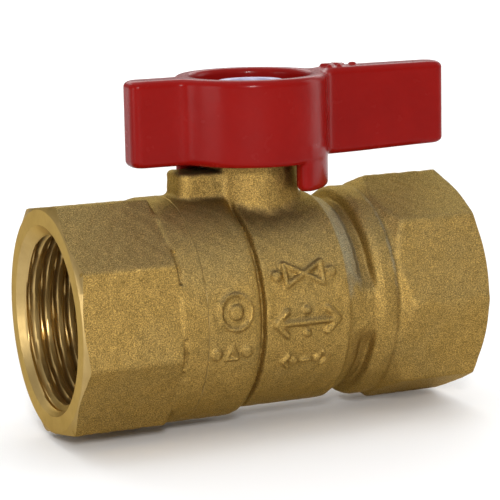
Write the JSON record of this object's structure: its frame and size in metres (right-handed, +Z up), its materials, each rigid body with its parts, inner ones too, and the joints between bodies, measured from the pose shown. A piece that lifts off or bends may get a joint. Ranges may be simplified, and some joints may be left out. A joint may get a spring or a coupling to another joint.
{
  "type": "quarter-turn ball valve",
  "caption": "Two-piece brass ball valve with female threaded octagonal ends, a red T handle above the stem and stop tabs that limit it to a quarter turn.",
  "frame": {"origin": "centre of the ball, where the pipe axis crosses the stem axis", "axes": "+X along the pipe from the screwed-in end connector to the body's own outlet, +Z up the stem axis to the handle, -Y towards the marked side of the body"},
  "size_m": [0.0635, 0.0344, 0.0511],
  "materials": {
    "forged_brass": "forged and blasted, satin with a fine grain",
    "machined_brass": "turned, bright",
    "chromed_ball": "polished chrome plate",
    "seat_plastic": "smooth white fluoropolymer",
    "nitrile": "smooth black rubber",
    "handle_paint": "glossy red enamel on a die casting",
    "zinc_plate": "bright zinc plate, slightly blue"
  },
  "bodies": {
    "housing": {"valve_body": "forged_brass", "end_connector": "forged_brass", "seat_ring_inlet": "seat_plastic", "seat_ring_outlet": "seat_plastic", "body_joint_seal": "seat_plastic"},
    "handle_and_stem": {"stem": "machined_brass", "stem_thrust_washer": "seat_plastic", "stem_o_ring_lower": "nitrile", "stem_o_ring_upper": "nitrile", "t_handle": "handle_paint", "handle_lock_washer": "zinc_plate", "handle_nut": "zinc_plate"},
    "ball": {"ball": "chromed_ball"}
  },
  "joints": [
    {"name": "handle_turn", "type": "hinge", "parent": "housing", "child": "handle_and_stem", "pos_m": [0, 0, 0.0237], "axis": [0, 0, -1], "range_deg": [0, 90]},
    {"name": "ball_turn", "type": "hinge", "parent": "housing", "child": "ball", "pos_m": [0, 0, 0], "axis": [0, 0, -1], "range_deg": [0, 90]}
  ],
  "couplings": [
    {"joint": "ball_turn", "follows": "handle_turn", "ratio": 1}
  ]
}
